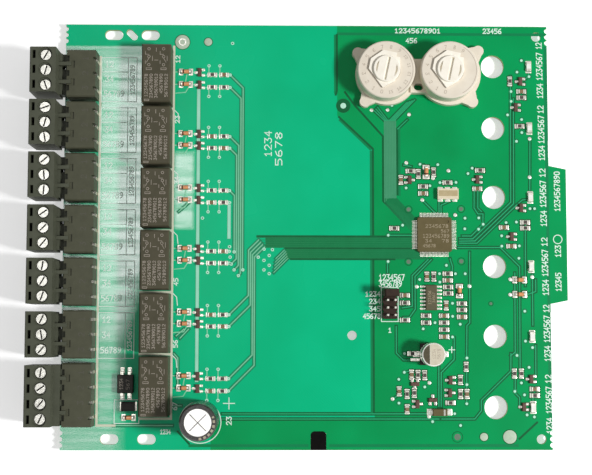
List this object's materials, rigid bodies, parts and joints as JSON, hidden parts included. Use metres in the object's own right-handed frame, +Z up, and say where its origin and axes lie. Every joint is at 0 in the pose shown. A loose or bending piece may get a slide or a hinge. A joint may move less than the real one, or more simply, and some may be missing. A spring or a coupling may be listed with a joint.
{
  "type": "relay control circuit board",
  "caption": "Bare green control board with pluggable screw terminals, sealed relays, two rotary address switches and surface mounted logic.",
  "frame": {"origin": "middle of the whole part's footprint, on the surface that the pin tails rest on", "axes": "+X from the terminal blocks to the lamp edge, +Y towards the end with the rotary switches, +Z up out of the component side"},
  "size_m": [0.1838, 0.1474, 0.0247],
  "materials": {
    "board": "green solder mask, satin",
    "insert": "black",
    "block_plastic": "dark warm grey",
    "clamp_metal": "bright plated",
    "tinned": "tinned",
    "relay_plastic": "dark brown grey, satin",
    "cream_plastic": "cream",
    "contact_brass": "plain",
    "chip_plastic": "dark brown grey",
    "resonator_ceramic": "tan",
    "jumper_plastic": "black",
    "lamp_white": "white",
    "diode_glass": "amber",
    "chip_ceramic": "brown",
    "can_metal": "satin",
    "sleeve": "dark"
  },
  "bodies": {
    "board": {"circuit_board": "board", "edge_insert": "insert", "terminal_header_1": "block_plastic", "terminal_header_2": "block_plastic", "terminal_header_3": "block_plastic", "terminal_header_4": "block_plastic", "terminal_header_5": "block_plastic", "terminal_header_6": "block_plastic", "terminal_header_7": "block_plastic", "header_pins": "tinned", "relay_pins": "tinned", "jumper_pins": "tinned", "capacitor_leads": "tinned", "microcontroller_leads": "tinned", "amplifier_leads": "tinned", "component_ends": "tinned", "transistor_leads": "tinned", "power_leads": "tinned", "relay_1": "relay_plastic", "relay_2": "relay_plastic", "relay_3": "relay_plastic", "relay_4": "relay_plastic", "relay_5": "relay_plastic", "relay_6": "relay_plastic", "switch_housing": "cream_plastic", "switch_contacts": "contact_brass", "microcontroller": "chip_plastic", "amplifier_chip": "chip_plastic", "bridge_rectifier": "chip_plastic", "power_diode": "chip_plastic", "transistors": "chip_plastic", "line_choke": "chip_plastic", "small_capacitor_base": "chip_plastic", "resonator": "resonator_ceramic", "jumper_header": "jumper_plastic", "indicator_leds": "lamp_white", "glass_diodes": "diode_glass", "chip_components": "chip_ceramic", "main_capacitor": "can_metal", "small_capacitor": "can_metal", "main_capacitor_sleeve": "sleeve"},
    "tens_dial": {"tens_dial": "cream_plastic"},
    "units_dial": {"units_dial": "cream_plastic"},
    "jumper": {"jumper_cap": "jumper_plastic", "jumper_clip": "contact_brass"},
    "plug_1": {"terminal_plug_1": "block_plastic", "plug_clamps_1": "clamp_metal"},
    "plug_2": {"terminal_plug_2": "block_plastic", "plug_clamps_2": "clamp_metal"},
    "plug_3": {"terminal_plug_3": "block_plastic", "plug_clamps_3": "clamp_metal"},
    "plug_4": {"terminal_plug_4": "block_plastic", "plug_clamps_4": "clamp_metal"},
    "plug_5": {"terminal_plug_5": "block_plastic", "plug_clamps_5": "clamp_metal"},
    "plug_6": {"terminal_plug_6": "block_plastic", "plug_clamps_6": "clamp_metal"},
    "plug_7": {"terminal_plug_7": "block_plastic", "plug_clamps_7": "clamp_metal"}
  },
  "joints": [
    {"name": "plug_1_pull", "type": "slide", "parent": "board", "child": "plug_1", "axis": [-1, 0, 0], "range_m": [0, 0.0095]},
    {"name": "plug_2_pull", "type": "slide", "parent": "board", "child": "plug_2", "axis": [-1, 0, 0], "range_m": [0, 0.0095]},
    {"name": "plug_3_pull", "type": "slide", "parent": "board", "child": "plug_3", "axis": [-1, 0, 0], "range_m": [0, 0.0095]},
    {"name": "plug_4_pull", "type": "slide", "parent": "board", "child": "plug_4", "axis": [-1, 0, 0], "range_m": [0, 0.0095]},
    {"name": "plug_5_pull", "type": "slide", "parent": "board", "child": "plug_5", "axis": [-1, 0, 0], "range_m": [0, 0.0095]},
    {"name": "plug_6_pull", "type": "slide", "parent": "board", "child": "plug_6", "axis": [-1, 0, 0], "range_m": [0, 0.0095]},
    {"name": "plug_7_pull", "type": "slide", "parent": "board", "child": "plug_7", "axis": [-1, 0, 0], "range_m": [0, 0.0095]},
    {"name": "tens_dial_turn", "type": "hinge", "parent": "board", "child": "tens_dial", "pos_m": [0.02865, 0.0562, 0.0126], "axis": [0, 0, 1], "continuous": true},
    {"name": "units_dial_turn", "type": "hinge", "parent": "board", "child": "units_dial", "pos_m": [0.05045, 0.0562, 0.0126], "axis": [0, 0, 1], "continuous": true},
    {"name": "jumper_pull", "type": "slide", "parent": "board", "child": "jumper", "axis": [0, 0, 1], "range_m": [0, 0.0062]}
  ]
}
